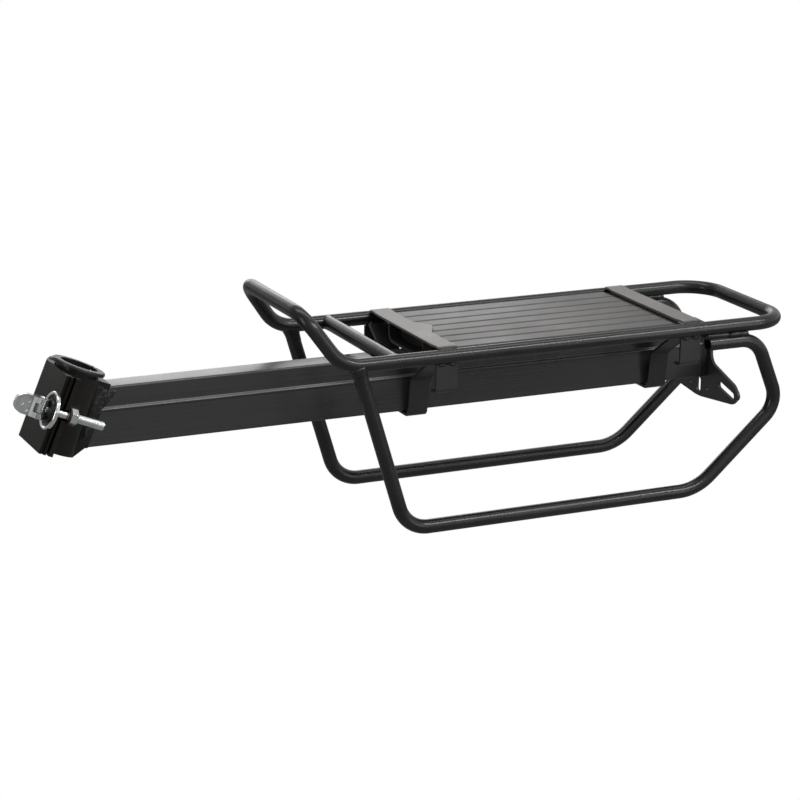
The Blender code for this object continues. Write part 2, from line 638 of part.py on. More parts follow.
mid_z = CROSS_MID_TOP - 0.5 * CROSS_T
end_z = CROSS_END_TOP - 0.5 * CROSS_T
cross_path = [Vector(point) for point in ((-CROSS_HALF, end_z - 0.1), (-50.0, end_z), (-46.0, mid_z),
                                          (46.0, mid_z), (50.0, end_z), (CROSS_HALF, end_z - 0.1))]
cross_section = strip(cross_path, CROSS_T)
plate_edge = CROSS_FRONT_X + 0.5 * CROSS_WIDTH
for name, x, rear in (("front_cross_plate", CROSS_FRONT_X, TONGUE_TIP_X + 2.0),
                      ("rear_cross_plate", CROSS_REAR_X, CROSS_REAR_X + 0.5 * CROSS_WIDTH)):
    front = x - 0.5 * CROSS_WIDTH
    plate = place(name, prism_mesh(name, [cross_section], rear - front), black_sheet,
                  (0.5 * (front + rear), 0.0, 0.0), ALONG_X)
    if name == "front_cross_plate":
        plan = fillet([((plate_edge, -70.0), 0.0), ((plate_edge, -TONGUE_HALF), 4.0), ((TONGUE_TIP_X, -2.0), 4.0),
                       ((TONGUE_TIP_X, 2.0), 4.0), ((plate_edge, TONGUE_HALF), 4.0), ((plate_edge, 70.0), 0.0),
                       ((TONGUE_TIP_X + 5.0, 70.0), 0.0), ((TONGUE_TIP_X + 5.0, -70.0), 0.0)], True)
        tongue_tool = cutter("tongue_tool", prism_mesh("tongue_tool", [plan], 20.0), (0.0, 0.0, mid_z))
        cut(plate, tongue_tool)

pitch = 2.0 * DECK_HALF / DECK_RIBS
deck_outline = [(DECK_HALF, DECK_BOTTOM), (DECK_HALF, DECK_TOP - 0.6), (DECK_HALF - 0.6, DECK_TOP)]
for rib in range(DECK_RIBS - 1, 0, -1):
    middle = -DECK_HALF + rib * pitch
    half = 0.5 * GROOVE_WIDTH
    deck_outline += [(middle + half, DECK_TOP), (middle + half - 0.6, DECK_TOP - GROOVE_DEPTH),
                     (middle - half + 0.6, DECK_TOP - GROOVE_DEPTH), (middle - half, DECK_TOP)]
deck_outline += [(-DECK_HALF + 0.6, DECK_TOP), (-DECK_HALF, DECK_TOP - 0.6), (-DECK_HALF, DECK_BOTTOM)]
deck_plate = place("deck_plate", prism_mesh("deck_plate", [deck_outline], DECK_X1 - DECK_X0), deck_black,
                   (0.5 * (DECK_X0 + DECK_X1), 0.0, 0.0), ALONG_X)
for end, x, length in (("front", DECK_X0, DECK_FRONT_STEP), ("rear", DECK_X1, DECK_REAR_STEP)):
    tool = cutter("deck_step_" + end, box_mesh("deck_step_" + end, (2.0 * length, 2.0 * DECK_HALF + 4.0, 6.0)),
                  (x, 0.0, DECK_TOP - DECK_STEP + 3.0))
    cut(deck_plate, tool)
lip_top = DECK_BOTTOM + 0.7
lip_tool = cutter("deck_lip", box_mesh("deck_lip", (DECK_LIP_T, 2.0 * DECK_LIP_HALF, lip_top - DECK_LIP_BOTTOM)),
                  (DECK_LIP_X, 0.0, 0.5 * (lip_top + DECK_LIP_BOTTOM)))
cut(deck_plate, lip_tool, "UNION")

saddle_top = CROSS_MID_TOP - CROSS_T - GAP
saddle_mid = BEAM_TOP + GAP + 0.5 * SHEET
saddle_path = fillet([((-SADDLE_HALF, saddle_top), 0.0), ((-SADDLE_HALF, saddle_mid), 6.0),
                      ((SADDLE_HALF, saddle_mid), 6.0), ((SADDLE_HALF, saddle_top), 0.0)], False, 15.0)
saddle_section = strip(saddle_path, SHEET)
for name, x in (("front_saddle", 255.8), ("rear_saddle", 448.7)):
    place(name, prism_mesh(name, [saddle_section], SADDLE_WIDTH), black_sheet, (x, 0.0, 0.0), ALONG_X)

web_mid = YOKE_BOTTOM + 0.5 * SHEET
half_yoke = [((-YOKE_FLARE_Y, YOKE_FLARE_Z), 0.0), ((-YOKE_LEG_TOP_Y, YOKE_LEG_TOP_Z), 3.0),
             ((-YOKE_LEG_BOTTOM_Y, web_mid), 4.0)]
yoke_corners = half_yoke + [((-y, z), radius) for (y, z), radius in half_yoke[::-1]]
yoke_section = strip(fillet(yoke_corners, False, 15.0), SHEET)
for name, x in (("front_yoke", FRONT_YOKE_X), ("rear_yoke", REAR_YOKE_X)):
    place(name, prism_mesh(name, [yoke_section], YOKE_WIDTH), black_sheet, (x, 0.0, 0.0), ALONG_X)

lip_z = TAB_BOTTOM + 0.5 * SHEET
for side, label in ((-1.0, "left"), (1.0, "right")):
    tab_path = fillet([((side * TAB_Y, TAB_TOP), 0.0), ((side * TAB_Y, lip_z), 2.2),
                       ((side * (TAB_Y - TAB_LIP), lip_z), 0.0)], False, 18.0)
    for end, x in (("front", FRONT_TAB_X), ("rear", REAR_TAB_X)):
        name = "rail_tab_%s_%s" % (end, label)
        place(name, prism_mesh(name, [strip(tab_path, SHEET)], TAB_WIDTH), black_sheet, (x, 0.0, 0.0), ALONG_X)

bpy.context.view_layer.update()
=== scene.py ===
"""Looks of the seat post rear rack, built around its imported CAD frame."""

import json
import math

import bmesh
import bpy
from mathutils import Matrix, Vector, noise


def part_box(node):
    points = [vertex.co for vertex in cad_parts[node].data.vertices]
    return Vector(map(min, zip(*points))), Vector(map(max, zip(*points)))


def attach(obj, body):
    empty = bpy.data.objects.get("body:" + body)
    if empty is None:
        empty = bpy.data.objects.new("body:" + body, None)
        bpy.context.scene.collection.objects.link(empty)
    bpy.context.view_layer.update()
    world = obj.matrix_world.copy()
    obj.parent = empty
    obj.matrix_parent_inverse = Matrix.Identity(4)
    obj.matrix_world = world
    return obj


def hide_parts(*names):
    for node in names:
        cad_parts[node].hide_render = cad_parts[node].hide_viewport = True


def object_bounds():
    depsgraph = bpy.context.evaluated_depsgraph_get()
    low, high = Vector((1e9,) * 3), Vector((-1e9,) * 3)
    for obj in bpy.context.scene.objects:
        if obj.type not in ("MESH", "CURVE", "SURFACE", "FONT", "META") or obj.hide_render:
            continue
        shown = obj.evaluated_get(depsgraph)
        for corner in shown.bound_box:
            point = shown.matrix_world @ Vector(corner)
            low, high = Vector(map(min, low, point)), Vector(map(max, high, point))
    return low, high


MM = 0.001

# Dimensions that part.py gives the CAD, in millimetres from the work point.
TILT = math.radians(22.3)      # lean of the seat post bore
BORE_TO_ORIGIN = 18.0          # from the bore axis to the row's origin, along the clamp's u
TOP_TO_ORIGIN = 32.5           # and along its w
BEAM_LEDGE = 5.6               # height of the step in the beam's side
ROD_V = -30.0                  # axis of the quick release rod, in the clamp's frame
ROD_W = 7.2
RAIL_Y = 58.5                  # middle line of the carrier's rails
RAIL_Z = 30.5
LOOP_Y = 59.5                  # middle line of the side loops
BAR_R = 5.0
BORE_R = 3.4                   # hollow end of a side loop
BORE_DEPTH = 14.0
CROSS_TUBE_X = 216.7
CROSS_TUBE_END = 55.2

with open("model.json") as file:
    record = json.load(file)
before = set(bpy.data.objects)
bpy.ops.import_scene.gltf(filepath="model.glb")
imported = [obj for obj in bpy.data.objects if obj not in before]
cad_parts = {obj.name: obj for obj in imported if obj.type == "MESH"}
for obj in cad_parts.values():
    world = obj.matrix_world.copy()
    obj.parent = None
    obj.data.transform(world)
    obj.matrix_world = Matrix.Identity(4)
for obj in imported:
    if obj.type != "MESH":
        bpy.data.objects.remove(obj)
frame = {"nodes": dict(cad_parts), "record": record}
cad_low, cad_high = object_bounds()
nodes = frame["nodes"]

# The work point of the design, on the bore axis at the beam's mid height.
up_bore = Vector((math.sin(TILT), 0.0, math.cos(TILT)))
back_u = Vector((math.cos(TILT), 0.0, -math.sin(TILT)))
WORK = -(BORE_TO_ORIGIN * MM) * back_u - (TOP_TO_ORIGIN * MM) * up_bore


def at(x, y, z):
    """A point given in millimetres from the work point."""
    return WORK + Vector((x, y, z)) * MM


def clamp_at(u, v, w):
    """A point in the clamp's tilted frame, in millimetres."""
    return WORK + (back_u * u + Vector((0.0, 1.0, 0.0)) * v + up_bore * w) * MM


# ---------------------------------------------------------------- materials

def start_material(name):
    """A node material with its Principled shader and object coordinates."""
    mat = bpy.data.materials.new(name)
    mat.use_nodes = True
    tree = mat.node_tree
    shader = tree.nodes["Principled BSDF"]
    coords = tree.nodes.new("ShaderNodeTexCoord")
    return mat, tree, shader, coords.outputs["Object"]


def scaled(tree, vector, scale, rotation=(0.0, 0.0, 0.0)):
    """Coordinates scaled, and turned, by a Mapping node."""
    node = tree.nodes.new("ShaderNodeMapping")
    node.inputs["Scale"].default_value = scale
    node.inputs["Rotation"].default_value = rotation
    tree.links.new(vector, node.inputs["Vector"])
    return node.outputs["Vector"]


def noise_value(tree, vector, scale, detail=3.0, roughness=0.55):
    """Noise texture value."""
    node = tree.nodes.new("ShaderNodeTexNoise")
    node.inputs["Scale"].default_value = scale
    node.inputs["Detail"].default_value = detail
    node.inputs["Roughness"].default_value = roughness
    tree.links.new(vector, node.inputs["Vector"])
    return node.outputs["Fac"]


def ramp(tree, value, low, high, start, end):
    """Map a value range to another, clamped."""
    node = tree.nodes.new("ShaderNodeMapRange")
    node.inputs["From Min"].default_value = low
    node.inputs["From Max"].default_value = high
    node.inputs["To Min"].default_value = start
    node.inputs["To Max"].default_value = end
    tree.links.new(value, node.inputs["Value"])
    return node.outputs["Result"]


def maths(tree, operation, first, second):
    """A Math node of two values, each a socket or a number."""
    node = tree.nodes.new("ShaderNodeMath")
    node.operation = operation
    for socket, value in zip(node.inputs, (first, second)):
        if isinstance(value, (int, float)):
            socket.default_value = value
        else:
            tree.links.new(value, socket)
    return node.outputs["Value"]


def blend_colours(tree, factor, first, second):
    """Mix two colours by a factor socket."""
    node = tree.nodes.new("ShaderNodeMix")
    node.data_type = "RGBA"
    tree.links.new(factor, node.inputs["Factor"])
    for socket, value in ((node.inputs["A"], first), (node.inputs["B"], second)):
        if isinstance(value, tuple):
            socket.default_value = (*value, 1.0)
        else:
            tree.links.new(value, socket)
    return node.outputs["Result"]


def edge_mask(tree, radius_mm, low=0.02, high=0.16):
    """One near sharp edges, zero on flats: the normal rounded by a small radius against the true one."""
    bevel = tree.nodes.new("ShaderNodeBevel")
    bevel.samples = 4
    bevel.inputs["Radius"].default_value = radius_mm * MM
    geometry = tree.nodes.new("ShaderNodeNewGeometry")
    dot = tree.nodes.new("ShaderNodeVectorMath")
    dot.operation = "DOT_PRODUCT"
    tree.links.new(bevel.outputs["Normal"], dot.inputs[0])
    tree.links.new(geometry.outputs["Normal"], dot.inputs[1])
    lost = maths(tree, "SUBTRACT", 1.0, dot.outputs["Value"])
    return ramp(tree, lost, low, high, 0.0, 1.0)


def bump(tree, shader, height, strength, distance_mm):
    """Bump on the shader's normal."""
    node = tree.nodes.new("ShaderNodeBump")
    node.inputs["Strength"].default_value = strength
    node.inputs["Distance"].default_value = distance_mm * MM
    tree.links.new(height, node.inputs["Height"])
    tree.links.new(node.outputs["Normal"], shader.inputs["Normal"])


def height_band(tree, vector, height, strength):
    """A mask that is strong at one height and gone 0.9 mm above and below it."""
    split = tree.nodes.new("ShaderNodeSeparateXYZ")
    tree.links.new(vector, split.inputs["Vector"])
    away = maths(tree, "ABSOLUTE", maths(tree, "SUBTRACT", split.outputs["Z"], height), 0.0)
    return ramp(tree, away, 0.3 * MM, 0.9 * MM, strength, 0.0)


def powder_coat(name, colour, rough, grain=1900.0, orange_peel=0.10, specular=0.5, edge_wear_and_highlight=0.25, dusty=0.35):
    """Satin paint: faint orange peel, cloudy gloss, dust in the tone, and greyer edges, partly thin paint and
    partly a painted highlight.
    """
    mat, tree, shader, vector = start_material(name)
    cloud = noise_value(tree, vector, 22.0, 4.0)
    fine = noise_value(tree, vector, grain, 2.0)
    dust = noise_value(tree, vector, 160.0, 5.0, 0.7)
    darker = tuple(value * 0.82 for value in colour)
    lighter = tuple(min(1.0, value * 1.22 + 0.002) for value in colour)
    tone = blend_colours(tree, ramp(tree, cloud, 0.35, 0.65, 0.0, 1.0), darker, lighter)
    speckled = blend_colours(tree, ramp(tree, dust, 0.66, 0.80, 0.0, dusty), tone, (0.09, 0.088, 0.085))
    # Sharp edges painted a lighter grey: partly paint worn thin, partly a painted highlight where rounded
    # edges catch the light.
    edges = maths(tree, "MULTIPLY", edge_mask(tree, 0.5), ramp(tree, dust, 0.35, 0.7, 0.1 * edge_wear_and_highlight, edge_wear_and_highlight))
    wear_and_highlight_tone = blend_colours(tree, edges, speckled, (0.16, 0.155, 0.15))
    tree.links.new(wear_and_highlight_tone, shader.inputs["Base Color"])
    gloss = maths(tree, "ADD", ramp(tree, cloud, 0.3, 0.7, rough - 0.05, rough + 0.06),
                  ramp(tree, fine, 0.3, 0.7, -0.03, 0.03))
    tree.links.new(gloss, shader.inputs["Roughness"])
    shader.inputs["Specular IOR Level"].default_value = specular
    bump(tree, shader, fine, orange_peel, 0.03)
    return mat


def anodised(name, colour, rough, specular=0.55, contrast=0.18, ledge=None):
    """Black anodised extrusion: drawing lines along it, soft gloss changes, lighter edges that are partly
    rubbed and partly a painted highlight, and at a ledge of a given height a painted highlight line with a
    painted shade line under it."""
    mat, tree, shader, vector = start_material(name)
    lines = noise_value(tree, scaled(tree, vector, (6.0, 900.0, 900.0)), 1.0, 3.0, 0.6)
    cloud = noise_value(tree, vector, 14.0, 4.0)
    scuffs = noise_value(tree, scaled(tree, vector, (60.0, 420.0, 420.0), (0.0, 0.0, 0.3)), 1.0, 5.0, 0.75)
    darker = tuple(value * (1.0 - contrast) for value in colour)
    lighter = tuple(value * (1.0 + contrast) for value in colour)
    tone = blend_colours(tree, ramp(tree, lines, 0.35, 0.65, 0.0, 1.0), darker, lighter)
    scuffed = blend_colours(tree, ramp(tree, scuffs, 0.70, 0.85, 0.0, 0.12), tone, (0.13, 0.13, 0.135))
    # Sharp edges painted a lighter grey: partly rubbed anodising, partly a painted highlight where rounded
    # edges catch the light.
    edges = maths(tree, "MULTIPLY", edge_mask(tree, 0.45), ramp(tree, scuffs, 0.35, 0.7, 0.03, 0.3))
    edge_wear_and_painted_light = blend_colours(tree, edges, scuffed, (0.22, 0.22, 0.225))
    if ledge is not None:
        # At the ledge: a painted highlight where its top catches the light, and a painted shade line 1.7 mm
        # below it.
        line = height_band(tree, vector, ledge, 0.9)
        shade = height_band(tree, vector, ledge - 1.7 * MM, 0.7)
        edge_wear_and_painted_light = blend_colours(tree, shade, edge_wear_and_painted_light, (0.012, 0.012, 0.012))
        edge_wear_and_painted_light = blend_colours(tree, line, edge_wear_and_painted_light, (0.19, 0.19, 0.185))
    tree.links.new(edge_wear_and_painted_light, shader.inputs["Base Color"])
    gloss = maths(tree, "ADD", ramp(tree, cloud, 0.3, 0.7, rough - 0.04, rough + 0.06),
                  ramp(tree, lines, 0.3, 0.7, -0.015, 0.02))
    tree.links.new(gloss, shader.inputs["Roughness"])
    shader.inputs["Specular IOR Level"].default_value = specular
    bump(tree, shader, lines, 0.02, 0.02)
    return mat


def plated(name, colour, rough, brushed=(300.0, 300.0, 300.0), spread=0.08):
    """Bright plating with fine scratches, uneven tone, and edges painted lighter as a painted highlight."""
    mat, tree, shader, vector = start_material(name)
    scratches = noise_value(tree, scaled(tree, vector, brushed, (0.4, 0.3, 0.2)), 1.0, 6.0, 0.7)
    cloud = noise_value(tree, vector, 120.0, 3.0)
    darker = tuple(value * 0.78 for value in colour)
    tone = blend_colours(tree, ramp(tree, cloud, 0.35, 0.7, 0.0, 1.0), darker, colour)
    # Edges painted toward light grey: a painted highlight.
    edges = maths(tree, "MULTIPLY", edge_mask(tree, 0.25), 0.35)
    tree.links.new(blend_colours(tree, edges, tone, (0.9, 0.9, 0.9)), shader.inputs["Base Color"])
    tree.links.new(ramp(tree, scratches, 0.35, 0.7, rough, rough + spread), shader.inputs["Roughness"])
    shader.inputs["Metallic"].default_value = 1.0
    bump(tree, shader, scratches, 0.10, 0.02)
    return mat


def lined_cup(name, plating, lining, centre, axis, radius_mm):
    """Plated steel that is black inside a radius round an axis, where the cup carries its plastic lining."""
    mat, tree, shader, vector = start_material(name)
    offset = tree.nodes.new("ShaderNodeVectorMath")
    offset.operation = "SUBTRACT"
    offset.inputs[1].default_value = centre
    tree.links.new(vector, offset.inputs[0])
    across = tree.nodes.new("ShaderNodeVectorMath")
    across.operation = "CROSS_PRODUCT"
    across.inputs[1].default_value = axis
    tree.links.new(offset.outputs["Vector"], across.inputs[0])
    length = tree.nodes.new("ShaderNodeVectorMath")
    length.operation = "LENGTH"
    tree.links.new(across.outputs["Vector"], length.inputs[0])
    rim = ramp(tree, length.outputs["Value"], (radius_mm - 0.1) * MM, (radius_mm + 0.1) * MM, 0.0, 1.0)
    scratches = noise_value(tree, scaled(tree, vector, (700.0, 300.0, 700.0), (0.4, 0.3, 0.2)), 1.0, 6.0, 0.7)
    tree.links.new(blend_colours(tree, rim, lining, plating), shader.inputs["Base Color"])
    tree.links.new(rim, shader.inputs["Metallic"])
    gloss = maths(tree, "ADD", ramp(tree, rim, 0.0, 1.0, 0.32, 0.07),
                  ramp(tree, scratches, 0.35, 0.7, 0.0, 0.09))
    tree.links.new(gloss, shader.inputs["Roughness"])
    bump(tree, shader, scratches, 0.10, 0.02)
    return mat


def moulded(name, colour, rough, grain=1400.0):
    """Moulded plastic or fibre with a fine grain."""
    mat, tree, shader, vector = start_material(name)
    fine = noise_value(tree, vector, grain, 2.0)
    cloud = noise_value(tree, vector, 40.0, 4.0)
    darker = tuple(value * 0.8 for value in colour)
    lighter = tuple(value * 1.35 for value in colour)
    tree.links.new(blend_colours(tree, ramp(tree, cloud, 0.35, 0.65, 0.0, 1.0), darker, lighter),
                   shader.inputs["Base Color"])
    tree.links.new(ramp(tree, fine, 0.3, 0.7, rough - 0.06, rough + 0.08), shader.inputs["Roughness"])
    bump(tree, shader, fine, 0.25, 0.05)
    return mat


PAINT_GRAIN = 1200.0
CLAMP_TONE = (0.0090, 0.0084, 0.0060)
PLASTIC_TONE = (0.010, 0.010, 0.011)
CHROME_TONE = (0.93, 0.95, 0.95)
LINING_R = 10.9                # black lining of the dished washer

bar_black = powder_coat("satin_bar_paint", (0.0125, 0.0125, 0.013), 0.25, orange_peel=0.025, edge_wear_and_highlight=0.0,
                        dusty=0.08)
sheet_black = powder_coat("sheet_paint", (0.024, 0.024, 0.025), 0.36, edge_wear_and_highlight=0.40)
# The cross plates are black paint like the sheet parts. Their grey base colour is a painted sheen that stands
# for the glancing reflection of the bright surroundings on their tops.
plate_black = powder_coat("cross_plate_painted_sheen", (0.150, 0.141, 0.132), 0.44, specular=0.6)
bracket_black = powder_coat("bracket_paint", (0.030, 0.027, 0.032), 0.40)
clamp_black = powder_coat("clamp_paint", CLAMP_TONE, 0.17, grain=PAINT_GRAIN, orange_peel=0.08, specular=0.33)
jaw_black = powder_coat("jaw_paint", CLAMP_TONE, 0.28, grain=PAINT_GRAIN, orange_peel=0.08, specular=0.1)
weld_black = powder_coat("weld_paint", (0.010, 0.010, 0.010), 0.22, grain=700.0, orange_peel=0.2, edge_wear_and_highlight=0.0)
beam_black = anodised("beam_anodised", (0.040, 0.040, 0.042), 0.27, contrast=0.07,
                      ledge=at(0.0, 0.0, BEAM_LEDGE).z)
deck_black = anodised("deck_anodised", (0.046, 0.042, 0.039), 0.38, specular=0.5)
chrome = plated("polished_plating", CHROME_TONE, 0.07, spread=0.05)
zinc = plated("zinc_plating", (0.86, 0.90, 0.90), 0.16, brushed=(900.0, 200.0, 900.0))
cup_steel = lined_cup("lined_cup", CHROME_TONE, (0.008, 0.008, 0.008), clamp_at(0.0, ROD_V, ROD_W), back_u,
                      LINING_R)
shim_black = moulded("shim_plastic", PLASTIC_TONE, 0.34)
plug_black = moulded("plug_plastic", PLASTIC_TONE, 0.55)
fibre = moulded("fibre_washer", (0.045, 0.010, 0.008), 0.60, 2200.0)

SLOT_MATERIALS = {
    "bar_black": bar_black, "sheet_black": sheet_black, "plate_black": plate_black,
    "bracket_black": bracket_black, "beam_black": beam_black, "deck_black": deck_black,
    "clamp_black": clamp_black, "shim_black": shim_black, "plug_black": plug_black,
    "polished_steel": chrome, "zinc_steel": zinc, "red_fibre": fibre,
}
# Nodes whose look differs from the rest of their slot.
OWN_MATERIALS = {"qr_dished_washer": cup_steel, "clamp_jaw": jaw_black}


# ---------------------------------------------------------------- CAD nodes: finish and edges

def smooth_by_angle(angle):
    """Geometry nodes that shade faces smooth and keep edges sharper than the angle."""
    group = bpy.data.node_groups.new("smooth_by_angle", "GeometryNodeTree")
    group.interface.new_socket("Geometry", in_out="INPUT", socket_type="NodeSocketGeometry")
    group.interface.new_socket("Geometry", in_out="OUTPUT", socket_type="NodeSocketGeometry")
    source = group.nodes.new("NodeGroupInput")
    target = group.nodes.new("NodeGroupOutput")
    faces = group.nodes.new("GeometryNodeSetShadeSmooth")
    faces.domain = "FACE"
    edges = group.nodes.new("GeometryNodeSetShadeSmooth")
    edges.domain = "EDGE"
    edges.inputs["Shade Smooth"].default_value = False
    between = group.nodes.new("GeometryNodeInputMeshEdgeAngle")
    compare = group.nodes.new("FunctionNodeCompare")
    compare.data_type = "FLOAT"
    compare.operation = "GREATER_THAN"
    compare.inputs["B"].default_value = math.radians(angle)
    group.links.new(source.outputs["Geometry"], faces.inputs["Geometry"])
    group.links.new(faces.outputs["Geometry"], edges.inputs["Geometry"])
    group.links.new(between.outputs["Unsigned Angle"], compare.inputs["A"])
    group.links.new(compare.outputs["Result"], edges.inputs["Selection"])
    group.links.new(edges.outputs["Geometry"], target.inputs["Geometry"])
    return group


SMOOTH = smooth_by_angle(32.0)


def shade_smooth(obj):
    """Smooth shading up to the angle of SMOOTH."""
    obj.modifiers.new("smooth", "NODES").node_group = SMOOTH


def round_edges(obj, width_mm):
    """Join the facets, merge the flat ones, round the sharp edges, and shade large faces as flat."""
    obj.modifiers.new("join", "WELD").merge_threshold = 0.005 * MM
    flat = obj.modifiers.new("flats", "DECIMATE")
    flat.decimate_type = "DISSOLVE"
    flat.angle_limit = math.radians(0.4)
    if width_mm:
        bevel = obj.modifiers.new("round", "BEVEL")
        bevel.width = width_mm * MM
        bevel.segments = 2
        bevel.limit_method = "ANGLE"
        bevel.angle_limit = math.radians(38.0)
    shade_smooth(obj)
    even = obj.modifiers.new("even_flats", "WEIGHTED_NORMAL")
    even.mode = "FACE_AREA"
    even.weight = 100
    even.keep_sharp = True


# Width of the rounded edges in millimetres. Nodes not listed keep their edges.
WIDTH_GROUPS = (
    (0.6, ("clamp_body", "clamp_jaw")),
    (0.45, ("front_cross_plate", "rear_cross_plate", "front_saddle", "rear_saddle", "front_yoke", "rear_yoke",
            "rail_tab_front_left", "rail_tab_front_right", "rail_tab_rear_left", "rail_tab_rear_right")),
    (0.35, ("lamp_bracket",)),
    (0.3, ("beam_end_plug", "deck_plate", "seatpost_shim")),
    (0.2, ("clamp_hinge_pin", "lamp_bracket_screw", "qr_dished_washer", "qr_skewer")),
    (0.15, ("qr_nut_washer",)),
)
EDGE_WIDTH = {name: width for width, names in WIDTH_GROUPS for name in names}

slot_of = {entry["node"]: entry["material_slot"] for entry in frame["record"]["subparts"]}
for name, obj in nodes.items():
    obj.data.materials.clear()
    obj.data.materials.append(OWN_MATERIALS.get(name, SLOT_MATERIALS[slot_of[name]]))
    round_edges(obj, EDGE_WIDTH.get(name, 0.0))


# ---------------------------------------------------------------- added pieces

def add_piece(name, bm, mat, body):
    """Make a smooth piece from a bmesh and let it ride on a body."""
    mesh = bpy.data.meshes.new(name)
    bmesh.ops.recalc_face_normals(bm, faces=bm.faces)
    bm.to_mesh(mesh)
    bm.free()
    obj = bpy.data.objects.new(name, mesh)
    bpy.context.scene.collection.objects.link(obj)
    mesh.materials.append(mat)
    mesh.shade_smooth()
    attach(obj, body)
    return obj


def skin(bm, rings, closed=False):
    """Faces between rings of vertices, with end caps unless the rings close on themselves."""
    pairs = list(zip(rings, rings[1:]))
    if closed:
        pairs.append((rings[-1], rings[0]))
    for lower, upper in pairs:
        for j in range(len(lower)):
            k = (j + 1) % len(lower)
            bm.faces.new((lower[j], lower[k], upper[k], upper[j]))
    if not closed:
        bm.faces.new(rings[0][::-1])
        bm.faces.new(rings[-1])


def circle_angles(sides):
    """The angles of a circle's points."""
    return [2.0 * math.pi * j / sides for j in range(sides)]


# ---------------------------------------------------------------- round bars

BAR_SIDES = 40
BEND_STEP = 4.0                # degrees of bend between two rings


def bent_path(corners, closed):
    """Points of a bent bar's middle line in millimetres, from (corner, bend radius) pairs."""
    points = []
    last = len(corners) - 1
    for i, (corner, radius) in enumerate(corners):
        here = Vector(corner)
        if not closed and i in (0, last):
            points.append(here)
            continue
        before = (Vector(corners[i - 1][0]) - here).normalized()
        after = (Vector(corners[(i + 1) % len(corners)][0]) - here).normalized()
        opening = before.angle(after)
        reach = radius / math.tan(opening / 2.0)
        centre = here + (before + after).normalized() * (radius / math.sin(opening / 2.0))
        first = (here + before * reach - centre) / radius
        second = (here + after * reach - centre) / radius
        side = (second - first * first.dot(second)).normalized()
        turn = math.pi - opening
        count = max(3, round(math.degrees(turn) / BEND_STEP))
        for k in range(count + 1):
            angle = turn * k / count
            points.append(centre + radius * (math.cos(angle) * first + math.sin(angle) * side))
    return points


def path_frames(points, closed):
    """Two directions across the path at each point, carried along with no twist, and closed up on a ring."""
    total = len(points)
    tangents = []
    for i in range(total):
        before = points[i - 1] if closed or i > 0 else points[i]
        after = points[(i + 1) % total] if closed or i < total - 1 else points[i]
        tangents.append((after - before).normalized())
    across = tangents[0].orthogonal().normalized()
    carried = [across]
    for i in range(1, total):
        across = tangents[i - 1].rotation_difference(tangents[i]) @ across
        carried.append(across)
    twist = 0.0
    if closed:
        back_home = tangents[-1].rotation_difference(tangents[0]) @ across
        twist = math.atan2(tangents[0].dot(carried[0].cross(back_home)), carried[0].dot(back_home))
    frames = []
    for i in range(total):
        turned = Matrix.Rotation(-twist * i / total, 3, tangents[i]) @ carried[i]
        frames.append((turned, tangents[i].cross(turned)))
    return frames


def bar(name, points, closed, bored_end=False):
    """A smooth round bar along a path in millimetres, which stands for the CAD bar of that name."""
    bm = bmesh.new()
    stations = [(point, BAR_R, frame_pair) for point, frame_pair in zip(points, path_frames(points, closed))]
    if bored_end:
        inward = (points[-2] - points[-1]).normalized()
        for depth in (0.0, BORE_DEPTH):
            stations.append((points[-1] + inward * depth, BORE_R, stations[len(points) - 1][2]))
    rings = []
    for point, radius, (first, second) in stations:
        spots = [point + (first * math.cos(angle) + second * math.sin(angle)) * radius
                 for angle in circle_angles(BAR_SIDES)]
        rings.append([bm.verts.new(at(*spot)) for spot in spots])
    skin(bm, rings, closed)
    obj = add_piece(name + "_bar", bm, bar_black, "carrier")
    shade_smooth(obj)
    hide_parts(name)


# Corners and bend radii of the middle lines, as in part.py. The hoop is narrower and higher than the rails.
RING_BACK = 528.2
HOOP_FOOT = 177.5
HOOP_TOP = (151.8, 52.2, 66.4)
RING_BEND = 26.0
HOOP_BEND = 17.0
ring_corners = [((RING_BACK, -RAIL_Y, RAIL_Z), RING_BEND), ((RING_BACK, RAIL_Y, RAIL_Z), RING_BEND),
                ((HOOP_FOOT, RAIL_Y, RAIL_Z), RING_BEND), (HOOP_TOP, HOOP_BEND),
                ((HOOP_TOP[0], -HOOP_TOP[1], HOOP_TOP[2]), HOOP_BEND),
                ((HOOP_FOOT, -RAIL_Y, RAIL_Z), RING_BEND)]
bar("top_frame", bent_path(ring_corners, True), True)

# The side loops, from the front leg's top round to the open rear end: x, z and bend radius of each corner.
LOOP_CORNERS = ((190.2, 23.7, 0.0), (225.6, -89.0, 23.0), (457.1, -88.9, 38.0), (522.5, -30.5, 19.5),
                (501.9, 19.2, 20.0), (460.7, 19.2, 0.0))
for side, label in ((-1.0, "left"), (1.0, "right")):
    loop_corners = [((x, side * LOOP_Y, z), radius) for x, z, radius in LOOP_CORNERS]
    bar("side_loop_" + label, bent_path(loop_corners, False), False, bored_end=True)

cross_line = [Vector((CROSS_TUBE_X, y, RAIL_Z)) for y in (-CROSS_TUBE_END, 0.0, CROSS_TUBE_END)]
bar("front_cross_tube", cross_line, False)


# ---------------------------------------------------------------- weld beads

BEAD_SIDES = 10


